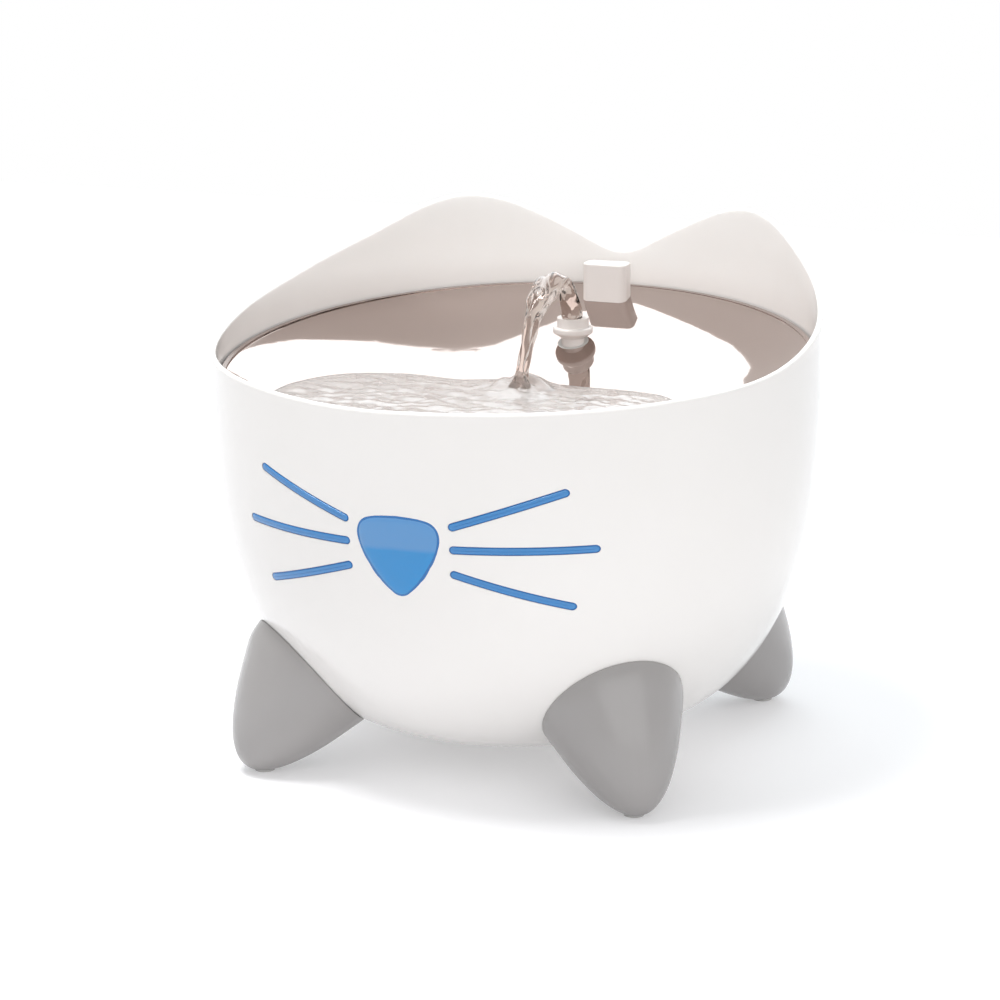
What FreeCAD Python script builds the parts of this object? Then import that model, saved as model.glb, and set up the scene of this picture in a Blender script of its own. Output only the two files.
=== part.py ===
import FreeCAD, Part
import os
from functools import lru_cache
from math import asin, atan2, cos, degrees, hypot, pi, radians, sin

V = FreeCAD.Vector
UP = V(0, 0, 1)
CENTRE = V(0, 0, 0)

# Pet water fountain. Millimetres, +Z up, the origin on the floor under the bowl's centre.
# The cat's face looks along -Y; the nozzle, the lifting knob and the ears are at +Y.

# General clearances
overrun = 1.0            # how far every cutter runs past what it cuts
running_gap = 0.05       # radial, round a turning shaft
loose_gap = 0.3          # between parts that slide or lift off
seam_gap = 0.25          # between a foot and the bowl
fit_gap = 0.1            # round parts that are pressed or laid in

# Bowl: its section is a rounded square curve, upright above the shoulder
bowl_radius = 125.0
bowl_wall = 2.6
bowl_shoulder_height = 174.3
bowl_curve_depth = 165.63
bowl_side_power = 3.35
bowl_depth_power = 2.86
bowl_flat_radius = 41.0
bowl_curve_steps = 15
bowl_seam_angle = 20.0
bowl_step_power = 1.5

# Rim of the guard: (angle from the front in degrees, share of the rise from front to ear tip)
rim_front_height = 165.3
ear_tip_height = 209.0
rim_rise_shares = [
    (0, 0.0), (30, 0.021), (55, 0.044), (75, 0.094), (90, 0.208), (105, 0.355), (118, 0.533),
    (130, 0.732), (140, 0.929), (148, 1.0), (157, 0.922), (165, 0.755), (172.5, 0.57), (180, 0.435),
]
rim_round = 1.1

# Drinking tray: a pressed steel dish whose edge circle slopes down to the front
tray_gap = 0.9           # between the tray's edge and the guard
tray_edge_height = 160.4
tray_slope_share = 0.0777
tray_depth = 21.0
tray_curve_power = 3.0
tray_fore_share = 0.7
tray_fore_curve_share = 0.2
tray_sheet = 0.8
tray_hem_width = 2.0
tray_hem_height = 2.2
tray_grid_steps = 26
drain_count = 9
drain_width = 1.6
drain_inset = 35.5
drain_length = 11.0
drain_spread_angle = 68.0

# Tray carrier under the dish, with the filter's well
carrier_gap = 0.7        # between the carrier and the guard
carrier_wall = 2.2
carrier_drop = 11.0
carrier_deck = 1.8
carrier_deck_inset = 37.5
ledge_width = 3.8
ledge_thickness = 3.0
well_inset = 16.5
well_depth = 35.0
well_half_angle = 42.0
well_wall = 1.6
well_overlap = 13.0      # how far the basket stands up into the sleeve

# Filter basket, foam and carbon
basket_headroom = 4.45   # under the lowest part of the dish above it
basket_height = 29.0
basket_wall = 1.6
basket_slot_count = 11
basket_slot_width = 1.8
basket_slot_margin = 5.0
foam_height = 14.0
carbon_height = 10.5

# Lifting knob on the tray's rear
knob_width = 20.0
knob_depth = 10.0
knob_inset = 11.5
knob_top_height = 182.0
knob_corner = 3.0
knob_edge = 0.8
knob_screw_spacing = 11.0
knob_boss_bottom = 160.0
knob_screw_length = 13.0
knob_screw_hole = 1.7

# Nozzle: its stem turns in a seal and hangs in the riser tube
spout_y = 64.0
stem_radius = 4.9
stem_bore = 3.6
stem_bottom_height = 130.0
spout_neck_height = 156.9
collar_radius = 8.5
collar_bottom_height = 159.2
collar_height = 2.5
collar_edge = 0.9
lip_radius = 6.75
lip_height = 4.0
outlet_radius = 4.3
outlet_tilt = 7.0
outlet_start_height = 156.0
seal_radius = 6.6
seal_flange_radius = 9.5
seal_flange_height = 2.4

# Riser tube from the pump to the nozzle
riser_bore = 5.2
riser_wall = 1.8

# Feet: horns that lean outwards at 45 degrees to the front
foot_turns = {"front_right": -45, "front_left": -135, "rear_right": 45, "rear_left": 135}
foot_base_inset = 33.9
foot_base_height = 40.2
foot_lean = 51.0
foot_length = 48.2
foot_radius = 30.4
foot_wall = 2.6
foot_profile_shares = [
    (0.0, 0.0), (0.03, 0.173), (0.12, 0.346), (0.3, 0.548), (0.55, 0.742), (0.8, 0.892),
    (1.0, 0.965), (1.2, 0.95), (1.4, 0.84),
]
foot_screw_reach = 4.9
foot_column_radius = 5.4
foot_column_top = 24.0
foot_seat_height = 21.5
foot_screw_length = 11.0
pad_reach = 22.3
pad_radius = 4.0
pad_height = 1.8

# Screws
screw_radius = 1.5
screw_head_radius = 2.9
screw_head_height = 2.0
screw_slot_width = 0.9
screw_slot_length = 3.6
screw_slot_depth = 1.1
screw_boss_radius = 4.2
screw_hole = 1.8
screw_head_hole = 3.4

# Nose: half outline as shares of half the width and of the height above the lowest point
nose_width = 34.0
nose_height = 32.0
nose_bottom_height = 92.3
nose_outline_shares = [
    (0, 1), (0.553, 0.978), (0.871, 0.916), (0.994, 0.803), (0.959, 0.616), (0.776, 0.406),
    (0.47, 0.172), (0.18, 0.052), (0, 0),
]
nose_flange = 3.0
nose_flange_thickness = 1.8
nose_seal_thickness = 0.8
pod_wall = 1.2
pod_depth = 6.6
pod_gap = 0.3
board_thickness = 1.2
led_radius = 1.6
led_height = 1.5
led_spacing = 8.0
led_height_share = 0.62

# Whiskers: (inner x, inner z, outer x, outer z) of the stroke's centre line, right side
whisker_width = 3.2
whisker_depth = 1.0
whisker_recess = 0.15
upper_whisker = (22.3, 121.4, 62.8, 134.8)
middle_whisker = (22.3, 112.15, 72.0, 111.85)
lower_whisker = (22.0, 102.1, 62.9, 88.7)

# Pump: its rotor axis lies along Y, its outlet stands under the nozzle
pump_width = 42.0
pump_height = 40.0
pump_length = 46.5
pump_bottom_height = 28.0
pump_outlet_inset = 7.5
pump_corner = 5.0
pump_wall = 2.0
rotor_axis_rise = 24.0
chamber_radius = 12.4
chamber_depth = 8.0
tunnel_radius = 7.4
tunnel_wall = 1.8
tunnel_length = 24.0
outlet_channel = 3.6
spigot_radius = 5.1
spigot_height = 12.0
cavity_end_wall = 4.0
motor_cover_thickness = 2.4
chamber_cover_radius = 13.8
chamber_cover_thickness = 2.4
intake_hole_count = 6
intake_hole_radius = 2.4
intake_circle_radius = 7.0
intake_cover_width = 33.0
intake_cover_height = 31.0
intake_cover_depth = 13.0
intake_cover_wall = 1.8
intake_slot_count = 5
intake_slot_width = 2.2
intake_slot_height = 14.0
intake_slot_pitch = 5.0
slider_width = 15.0
slider_height = 9.0
slider_thickness = 1.4
slider_nub = 2.0
slider_rail = 1.4
slider_travel = 8.0
shaft_radius = 1.5
bush_radius = 3.0
bush_length = 2.0
impeller_radius = 11.0
impeller_plate = 1.2
impeller_blades = 6
impeller_blade_thickness = 1.0
impeller_blade_height = 4.2
impeller_hub_radius = 3.2
magnet_radius = 6.8
magnet_length = 19.0
core_width = 30.0
core_length = 12.0
core_leg = 5.2
core_base_height = 5.5
coil_build = 2.2
cup_radius = 7.5
cup_neck_radius = 3.0
cup_rim_height = 1.4
cup_neck_rise = 4.6
cup_side_inset = 8.0
seat_radius = 8.5
seat_height = 21.5
gland_radius = 4.0
gland_bore = 2.2
gland_height = 7.0
gland_inset = 8.0

# Cord inlet through the bowl's rear wall
grommet_height = 143.0
grommet_radius = 5.0
grommet_flange_radius = 7.5
grommet_flange_thickness = 1.6
grommet_bore = 2.4


# Worked out from the sizes above
top_height = ear_tip_height + overrun
inner_radius = bowl_radius - bowl_wall
tray_radius = inner_radius - tray_gap
carrier_radius = inner_radius - carrier_gap
carrier_deck_radius = tray_radius - carrier_deck_inset
drain_inner_radius = tray_radius - drain_inset
well_outer_radius = tray_radius - well_inset
well_inner_radius = well_outer_radius - well_depth
knob_front = tray_radius - knob_inset - knob_depth
foot_base_radius = bowl_radius - foot_base_inset
foot_screw_radius = foot_base_radius + foot_screw_reach
pad_place_radius = foot_base_radius + pad_reach
pump_back = spout_y + pump_outlet_inset
pump_front = pump_back - pump_length
pump_top_height = pump_bottom_height + pump_height
rotor_height = pump_bottom_height + rotor_axis_rise
chamber_floor = pump_back - chamber_depth
tunnel_end = chamber_floor - tunnel_length
room_end = chamber_floor - cavity_end_wall
core_end = room_end - loose_gap - coil_build
core_low = pump_bottom_height + pump_wall + loose_gap + coil_build


def dish_height(x, y):
    """Height of the tray's upper face: deepest towards the front, shallow under nozzle and knob."""
    reach = hypot(x, y) / tray_radius
    fore = y / tray_radius
    hollow = 1 - reach ** tray_curve_power if reach < 1 else tray_curve_power * (1 - reach)
    hollow *= 1 - tray_fore_share * fore - tray_fore_curve_share * fore * fore
    return tray_edge_height + tray_slope_share * y - tray_depth * hollow


basket_top_height = dish_height(0, -well_inner_radius) - tray_sheet - basket_headroom
basket_bottom_height = basket_top_height - basket_height
well_bottom_height = basket_top_height - well_overlap


def cylinder(radius, low, high, x=0, y=0):
    """Upright cylinder between two heights."""
    return Part.makeCylinder(radius, high - low, V(x, y, low))


def tube(outer, inner, low, high, x=0, y=0):
    """Upright ring between two heights."""
    bore = cylinder(inner, low - overrun, high + overrun, x, y)
    return cylinder(outer, low, high, x, y).cut(bore)


def lying(radius, start, end, x=0, z=0):
    """Cylinder along Y from start to end."""
    return Part.makeCylinder(radius, end - start, V(x, start, z), V(0, 1, 0))


def block(width, start, end, low, high, x=0):
    """Box centred on x, between two places along Y and two heights."""
    return Part.makeBox(width, end - start, high - low, V(x - width / 2, start, low))


def joined(shapes):
    """One clean solid from shapes that touch."""
    shapes = list(shapes)
    return shapes[0].fuse(shapes[1:]).removeSplitter()


def turned(shape, angle, centre=CENTRE, axis=UP):
    """A copy of the shape, turned about an axis."""
    copy = shape.copy()
    copy.rotate(centre, axis, angle)
    return copy


def both_sides(shape):
    """The shape and its mirror image across the middle plane."""
    return [shape, shape.mirror(CENTRE, V(1, 0, 0))]


def spline_edge(points, start=None, end=None):
    """Smooth edge through points, with its end directions where they are given."""
    curve = Part.BSplineCurve()
    if start is None:
        curve.interpolate(points)
    else:
        curve.interpolate(Points=points, InitialTangent=start, FinalTangent=end)
    return curve.toShape()


def revolved(edges):
    """Solid of revolution about Z from a closed section in the XZ plane."""
    return Part.Face(Part.Wire(edges)).revolve(CENTRE, UP, 360)


def curve_point(inset, turn):
    """Point of the bowl's section, moved inwards by inset, from turn 0 below to pi/2 at the shoulder."""
    radius = (bowl_radius - inset) * sin(turn) ** (2 / bowl_side_power)
    drop = (bowl_curve_depth - inset) * cos(turn) ** (2 / bowl_depth_power)
    return V(radius, 0, bowl_shoulder_height - drop)


@lru_cache(maxsize=None)
def bowl_solid(inset, top):
    """All space inside the bowl's section moved inwards by inset, up to the height top."""
    flat_turn = asin((bowl_flat_radius / bowl_radius) ** (bowl_side_power / 2))
    points = []
    for step in range(bowl_curve_steps + 1):
        left = (1 - step / bowl_curve_steps) ** bowl_step_power
        points.append(curve_point(inset, pi / 2 - (pi / 2 - flat_turn) * left))
    corners = [points[-1], V(points[-1].x, 0, top), V(0, 0, top), V(0, 0, points[0].z), points[0]]
    edges = [spline_edge(points, points[1] - points[0], UP)]
    edges += [Part.LineSegment(a, b).toShape() for a, b in zip(corners, corners[1:])]
    half = Part.Face(Part.Wire(edges)).revolve(CENTRE, UP, 180)
    return turned(half, bowl_seam_angle).fuse(turned(half, bowl_seam_angle + 180))


@lru_cache(maxsize=None)
def layer(outer_inset, inner_inset):
    """The skin of the bowl's form between two insets."""
    return bowl_solid(outer_inset, top_height).cut(bowl_solid(inner_inset, top_height + overrun))


def rim_edge(radius):
    """Closed curve of the rim's height round the bowl at a radius."""
    front_half = [(radians(angle), share) for angle, share in rim_rise_shares]
    rear_half = [(-angle, share) for angle, share in reversed(front_half[1:-1])]
    points = []
    for angle, share in front_half + rear_half:
        height = rim_front_height + (ear_tip_height - rim_front_height) * share
        points.append(V(radius * sin(angle), -radius * cos(angle), height))
    curve = Part.BSplineCurve()
    curve.interpolate(Points=points, PeriodicFlag=True)
    return curve.toShape()


def above_rim():
    """Ring of space above the rim, which the guard's blank loses."""
    ring = Part.makeRuledSurface(rim_edge(inner_radius - overrun), rim_edge(bowl_radius + overrun))
    return ring.extrude(V(0, 0, ear_tip_height - rim_front_height + overrun + overrun))


@lru_cache(maxsize=None)
def dish_slab(below, thickness):
    """Slab under the tray's upper face: its underside lies below that face by the first value."""
    half = tray_radius + overrun + overrun
    places = [half * (2 * step / tray_grid_steps - 1) for step in range(tray_grid_steps + 1)]
    grid = [[V(x, y, dish_height(x, y) - below) for y in places] for x in places]
    surface = Part.BSplineSurface()
    surface.interpolate(grid)
    return surface.toShape().extrude(V(0, 0, thickness))


def edge_slab(bottom_drop, top_drop):
    """Slab parallel to the tray's edge plane, between two drops below it."""
    half = bowl_radius + overrun
    corners = []
    for x, y in ((-half, -half), (half, -half), (half, half), (-half, half), (-half, -half)):
        corners.append(V(x, y, tray_edge_height + tray_slope_share * y - bottom_drop))
    return Part.Face(Part.makePolygon(corners)).extrude(V(0, 0, bottom_drop - top_drop))


def at_foot(shape, name):
    """Shape modelled at +X, turned to one foot."""
    return turned(shape, foot_turns[name])


def screw(length, low):
    """Pan head screw pointing up, its head's seat at height low, with a cross recess below."""
    head_low = low - screw_head_height
    body = cylinder(screw_radius, low, low + length).fuse(cylinder(screw_head_radius, head_low, low))
    slot = Part.makeBox(screw_slot_length, screw_slot_width, screw_slot_depth)
    slot.translate(V(-screw_slot_length / 2, -screw_slot_width / 2, head_low))
    return body.cut([slot, turned(slot, 90)]).removeSplitter()


def nose_prism(grow):
    """Nose outline, grown by a distance, drawn out along Y through the front wall."""
    points = [V(x * nose_width / 2, 0, nose_bottom_height + z * nose_height) for x, z in nose_outline_shares]
    right, left = V(1, 0, 0), V(-1, 0, 0)
    edge = spline_edge(points, right, left)
    ways = [edge.tangentAt(edge.Curve.parameter(point)) for point in points]
    grown = [point + V(-way.z, 0, way.x) * grow for point, way in zip(points, ways)]
    wire = Part.Wire(both_sides(spline_edge(grown, right, left)))
    return Part.Face(wire).extrude(V(0, -bowl_radius - overrun, 0))


def whisker_prism(stroke, grow):
    """Round ended stroke, grown by a distance, drawn out along Y through the front wall."""
    inner_x, inner_z, outer_x, outer_z = stroke
    run = hypot(outer_x - inner_x, outer_z - inner_z)
    radius = whisker_width / 2 + grow
    corners = [V(0, 0, -radius), V(run, 0, -radius), V(run, 0, radius), V(0, 0, radius)]
    curves = [
        Part.LineSegment(corners[0], corners[1]), Part.Arc(corners[1], V(run + radius, 0, 0), corners[2]),
        Part.LineSegment(corners[2], corners[3]), Part.Arc(corners[3], V(-radius, 0, 0), corners[0]),
    ]
    face = Part.Face(Part.Wire([curve.toShape() for curve in curves]))
    prism = face.extrude(V(0, -bowl_radius - overrun, 0))
    prism.rotate(CENTRE, V(0, -1, 0), degrees(atan2(outer_z - inner_z, outer_x - inner_x)))
    prism.translate(V(inner_x, 0, inner_z))
    return prism


def cup_places():
    """Centres of the four suction cups under the pump."""
    side = pump_width / 2 - cup_side_inset
    return [(x, y) for x in (-side, side) for y in (pump_front + cup_side_inset, pump_back - cup_side_inset)]


def make_ledge():
    """Sloping ledge inside the wall that carries the tray carrier."""
    top_drop = carrier_drop + loose_gap
    slab = edge_slab(top_drop + ledge_thickness, top_drop)
    ring = tube(bowl_radius, inner_radius - ledge_width, 0, top_height)
    return slab.common(ring).common(bowl_solid(bowl_wall / 2, top_height))


def make_bowl_shell():
    """Bowl, guard and ears in one moulding, with ledge, pump seats and blind foot bosses."""
    shell = bowl_solid(0, top_height).cut(bowl_solid(bowl_wall, top_height + overrun))
    shell = shell.cut(above_rim())
    lines = [rim_edge(bowl_radius), rim_edge(inner_radius)]
    rim = []
    for edge in shell.Edges:
        middle = Part.Vertex(edge.valueAt((edge.FirstParameter + edge.LastParameter) / 2))
        if min(middle.distToShape(line)[0] for line in lines) < loose_gap:
            rim.append(edge)
    shell = shell.makeFillet(rim_round, rim)
    core = bowl_solid(bowl_wall / 2, top_height)
    additions = [make_ledge()]
    additions += [cylinder(seat_radius, 0, seat_height, x, y).common(core) for x, y in cup_places()]
    boss_low = foot_column_top + loose_gap
    boss = cylinder(screw_boss_radius, boss_low, bowl_shoulder_height / 2, foot_screw_radius).cut(core)
    hole_top = foot_seat_height + foot_screw_length
    hole = cylinder(screw_radius, 0, hole_top, foot_screw_radius)
    additions += [at_foot(boss, name) for name in foot_turns]
    shell = shell.fuse(additions)
    cuts = [at_foot(hole, name) for name in foot_turns]
    cuts.append(nose_prism(fit_gap))
    cuts.append(lying(grommet_radius, 0, bowl_radius + overrun, 0, grommet_height))
    groove = layer(-overrun, whisker_depth + fit_gap)
    for stroke in (upper_whisker, middle_whisker, lower_whisker):
        cuts += both_sides(whisker_prism(stroke, fit_gap).common(groove))
    for cut in cuts:
        shell = shell.cut(cut)
    return shell


def foot_form(inset):
    """Horn of revolution about its own leaning axis, moved inwards by inset, its tip down and out."""
    points = []
    for length_share, radius_share in foot_profile_shares:
        along = inset + length_share * (foot_length - inset)
        points.append(V(radius_share * (foot_radius - inset), 0, along))
    end = points[-1]
    edges = [spline_edge(points, V(1, 0, 0), end - points[-2])]
    edges.append(Part.LineSegment(end, V(0, 0, end.z)).toShape())
    edges.append(Part.LineSegment(V(0, 0, end.z), points[0]).toShape())
    horn = revolved(edges)
    horn.translate(V(0, 0, -foot_length))
    horn.rotate(CENTRE, V(0, 1, 0), foot_lean - 90)
    horn.translate(V(foot_base_radius, 0, foot_base_height))
    return horn


def make_foot():
    """Hollow foot at +X, its mouth cut to the bowl, with a screw column and a pad recess."""
    outside = foot_form(0)
    column = cylinder(foot_column_radius, 0, foot_column_top, foot_screw_radius).common(outside)
    foot = outside.cut(foot_form(foot_wall)).fuse(column)
    cuts = [
        bowl_solid(-seam_gap, top_height),
        cylinder(screw_head_hole, -overrun, foot_seat_height, foot_screw_radius),
        cylinder(screw_hole, -overrun, foot_column_top + overrun, foot_screw_radius),
        cylinder(pad_radius, -overrun, pad_height, pad_place_radius),
        cylinder(screw_boss_radius + loose_gap, foot_column_top, bowl_shoulder_height, foot_screw_radius),
    ]
    foot = foot.cut(cuts)
    return max(foot.Solids, key=lambda solid: solid.Volume)


def make_foot_pads():
    """Four rubber discs under the feet."""
    pad = cylinder(pad_radius, 0, pad_height, pad_place_radius)
    return Part.makeCompound([at_foot(pad, name) for name in foot_turns])


def make_foot_screws():
    """Four screws that hold the feet from below."""
    piece = screw(foot_screw_length, foot_seat_height)
    piece.translate(V(foot_screw_radius, 0, 0))
    return Part.makeCompound([at_foot(piece, name) for name in foot_turns])


def make_nose_window():
    """Translucent nose, flush outside, with a flange behind the wall."""
    plug = nose_prism(0).common(layer(0, bowl_wall + nose_seal_thickness))
    flange_outer = bowl_wall + nose_seal_thickness
    flange = nose_prism(nose_flange).common(layer(flange_outer, flange_outer + nose_flange_thickness))
    return joined([plug, flange])


def make_nose_seal():
    """Soft ring pressed between the wall and the nose's flange."""
    ring = nose_prism(nose_flange).cut(nose_prism(fit_gap))
    return ring.common(layer(bowl_wall, bowl_wall + nose_seal_thickness))


def pod_start():
    """Inset of the nose flange's back, where the lamp's pod begins."""
    return bowl_wall + nose_seal_thickness + nose_flange_thickness + fit_gap


def make_light_pod():
    """Closed cup behind the nose that keeps the lamp dry."""
    cup = nose_prism(nose_flange).common(layer(pod_start(), pod_start() + pod_depth))
    room = nose_prism(nose_flange - pod_wall).common(layer(0, pod_start() + pod_depth - pod_wall))
    return cup.cut(room)


def board_back():
    """Inset of the lamp board's back face."""
    return pod_start() + pod_depth - pod_wall - fit_gap


def wall_radius(inset, height):
    """Radius of the bowl's section, moved inwards by inset, at a height."""
    drop = (bowl_shoulder_height - height) / (bowl_curve_depth - inset)
    return (bowl_radius - inset) * (1 - drop ** bowl_depth_power) ** (1 / bowl_side_power)


def make_light_board():
    """Lamp board lying on the pod's back."""
    board = nose_prism(nose_flange - pod_wall - pod_gap)
    return board.common(layer(board_back() - board_thickness, board_back()))


def make_light_led():
    """Two lamps on the board behind the wide upper part of the nose."""
    height = nose_bottom_height + led_height_share * nose_height
    places = (-led_spacing / 2, led_spacing / 2)
    end = -wall_radius(board_back() - board_thickness, height) - loose_gap
    return Part.makeCompound([lying(led_radius, end - led_height, end, x, height) for x in places])


def make_whisker(stroke):
    """Blue inlay in its groove on the right, a little below the wall's face."""
    return whisker_prism(stroke, 0).common(layer(whisker_recess, whisker_depth))


def make_cord_grommet():
    """Soft inlet for the cord, flush outside, with a flange behind the wall."""
    reach = bowl_radius + overrun
    plug = lying(grommet_radius, 0, reach, 0, grommet_height).common(layer(0, bowl_wall))
    back = layer(bowl_wall, bowl_wall + grommet_flange_thickness)
    flange = lying(grommet_flange_radius, 0, reach, 0, grommet_height).common(back)
    return joined([plug, flange]).cut(lying(grommet_bore, 0, reach, 0, grommet_height))


def make_drinking_tray():
    """Pressed steel dish with a hem, drain slots, the nozzle's hole and the knob's screw holes."""
    sheet = dish_slab(tray_sheet, tray_sheet).common(cylinder(tray_radius, 0, top_height))
    hem = edge_slab(tray_hem_height, 0)
    hem = hem.common(tube(tray_radius, tray_radius - tray_hem_width, 0, top_height))
    tray = joined([sheet.cut(edge_slab(0, -tray_depth)), hem])
    cuts = [cylinder(seal_radius, 0, top_height, 0, spout_y)]
    cuts += [cylinder(knob_screw_hole, 0, top_height, x, y) for x, y in knob_screw_places()]
    slot = block(drain_width, -drain_inner_radius - drain_length, -drain_inner_radius, 0, top_height)
    for index in range(drain_count):
        angle = drain_spread_angle * (index / (drain_count - 1) - 1 / 2)
        cuts.append(turned(slot, angle))
    return tray.cut(cuts)


def knob_screw_places():
    """Centres of the knob's two screws."""
    return [(side * knob_screw_spacing / 2, knob_front + knob_depth / 2) for side in (-1, 1)]


def sector(grow, low, high):
    """Ring sector at the front, the well's space grown by a distance, between two heights."""
    inner = well_inner_radius - grow
    outer = well_outer_radius + grow
    half_angle = well_half_angle + degrees(2 * grow / (inner + outer))
    wedge = Part.makeCylinder(outer, high - low, V(0, 0, low), UP, 2 * half_angle)
    wedge = turned(wedge, -90 - half_angle)
    return wedge.cut(cylinder(inner, low - overrun, high + overrun))


def make_tray_carrier():
    """Moulded carrier: outer wall on the ledge, deck under the dish, sleeve for the filter."""
    wall = edge_slab(carrier_drop, 0)
    wall = wall.common(tube(carrier_radius, carrier_radius - carrier_wall, 0, top_height))
    deck = dish_slab(tray_sheet + carrier_deck, carrier_deck)
    deck = deck.common(tube(carrier_radius - carrier_wall / 2, carrier_deck_radius, 0, top_height))
    deck = deck.cut(edge_slab(0, -tray_depth))
    sleeve = sector(well_wall, well_bottom_height, tray_edge_height)
    bosses = [cylinder(screw_boss_radius, knob_boss_bottom, knob_top_height, x, y)
              for x, y in knob_screw_places()]
    carrier = joined([wall, deck, sleeve] + bosses)
    over = dish_slab(tray_sheet, tray_depth + tray_depth)
    hem = edge_slab(tray_hem_height, -tray_depth).common(cylinder(bowl_radius, 0, top_height))
    rim_space = hem.cut(cylinder(tray_radius - tray_hem_width, 0, top_height))
    cuts = [over, rim_space, sector(0, 0, top_height)]
    cuts += [cylinder(knob_screw_hole, 0, top_height, x, y) for x, y in knob_screw_places()]
    return carrier.cut(cuts)


def make_lift_knob():
    """Rounded block standing on the dish, with two blind screw holes."""
    knob = block(knob_width, knob_front, knob_front + knob_depth, tray_edge_height, knob_top_height)
    upright = [edge for edge in knob.Edges if abs(edge.tangentAt(edge.FirstParameter).z) > 1 / 2]
    knob = knob.makeFillet(knob_corner, upright)
    top = [edge for edge in knob.Edges if edge.BoundBox.ZMin > knob_top_height - knob_edge]
    knob = knob.makeFillet(knob_edge, top)
    knob = knob.common(dish_slab(0, knob_top_height))
    hole_top = knob_boss_bottom + knob_screw_length
    return knob.cut([cylinder(screw_radius, 0, hole_top, x, y) for x, y in knob_screw_places()])


def make_knob_screws():
    """Two screws up through carrier and dish into the knob."""
    screws = []
    for x, y in knob_screw_places():
        piece = screw(knob_screw_length, knob_boss_bottom)
        piece.translate(V(x, y, 0))
        screws.append(piece)
    return Part.makeCompound(screws)


def seal_bottom():
    """Height of the seal's lower face, under the lowest part of the dish that it covers."""
    return dish_height(0, spout_y - seal_flange_radius) - tray_sheet - seal_flange_height


def make_spout_seal():
    """Soft bush in the dish's hole, in which the nozzle's stem turns."""
    low = seal_bottom()
    through = cylinder(seal_radius, low, top_height, 0, spout_y).cut(dish_slab(0, top_height))
    flange = cylinder(seal_flange_radius, low, top_height, 0, spout_y).cut(dish_slab(tray_sheet, top_height))
    bore = cylinder(stem_radius + running_gap, 0, top_height, 0, spout_y)
    return joined([through, flange]).cut(bore)


def make_spout_nozzle():
    """Turning nozzle: stem, flared collar and lip, with a bore that leans to the front."""
    outline = [
        (0, stem_bottom_height), (stem_radius, stem_bottom_height), (stem_radius, spout_neck_height),
        (collar_radius, collar_bottom_height), (collar_radius, collar_bottom_height + collar_height),
        (lip_radius, collar_bottom_height + collar_height),
        (lip_radius, collar_bottom_height + collar_height + lip_height),
        (0, collar_bottom_height + collar_height + lip_height), (0, stem_bottom_height),
    ]
    section = Part.makePolygon([V(radius, 0, height) for radius, height in outline])
    body = Part.Face(section).revolve(CENTRE, UP, 360)
    rounds = []
    for edge in body.Edges:
        low, high = edge.BoundBox.ZMin, edge.BoundBox.ZMax
        if high - low < collar_edge / 2 and low > collar_bottom_height - collar_edge / 2:
            if edge.BoundBox.XMax > lip_radius + (collar_radius - lip_radius) / 2:
                rounds.append(edge)
    body = body.makeFillet(collar_edge, rounds)
    bore = cylinder(stem_bore, stem_bottom_height - overrun, spout_neck_height)
    outlet = cylinder(outlet_radius, outlet_start_height, knob_top_height)
    outlet = turned(outlet, outlet_tilt, V(0, 0, spout_neck_height), V(1, 0, 0))
    outlet = outlet.cut(cylinder(bowl_radius, 0, outlet_start_height))
    nozzle = body.cut([bore, outlet])
    nozzle.translate(V(0, spout_y, 0))
    return nozzle


def make_riser_tube():
    """Tube pushed over the pump's spigot, open above for the nozzle's stem."""
    high = seal_bottom() - loose_gap
    return tube(riser_bore + riser_wall, riser_bore, pump_top_height, high, 0, spout_y)


def make_filter_basket():
    """Basket with a slotted floor that slips up into the carrier's sleeve."""
    outside = sector(-loose_gap, basket_bottom_height, basket_top_height)
    inside = sector(-loose_gap - basket_wall, basket_bottom_height + basket_wall, top_height)
    slots = []
    start = -well_outer_radius + basket_slot_margin
    slot = block(basket_slot_width, start, -well_inner_radius - basket_slot_margin, 0, foam_top_height())
    for index in range(basket_slot_count):
        angle = (2 * well_half_angle - basket_slot_margin) * ((index + 1 / 2) / basket_slot_count - 1 / 2)
        slots.append(turned(slot, angle))
    floor = cylinder(bowl_radius, 0, basket_bottom_height + basket_wall)
    slots = [piece.common(floor) for piece in slots]
    return outside.cut([inside] + slots)


def foam_top_height():
    """Height of the foam's upper face in the basket."""
    return basket_bottom_height + basket_wall + foam_height


def make_filter_foam():
    """Foam pad on the basket's floor."""
    return sector(-loose_gap - basket_wall - loose_gap, basket_bottom_height + basket_wall, foam_top_height())


def make_filter_carbon():
    """Carbon pad on the foam."""
    return sector(-loose_gap - basket_wall - loose_gap, foam_top_height(), foam_top_height() + carbon_height)


def motor_room():
    """Box cavity for the motor, open at the pump's front."""
    width = pump_width - 2 * pump_wall
    low = pump_bottom_height + pump_wall
    return block(width, pump_front - overrun, room_end, low, pump_top_height - pump_wall)


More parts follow.
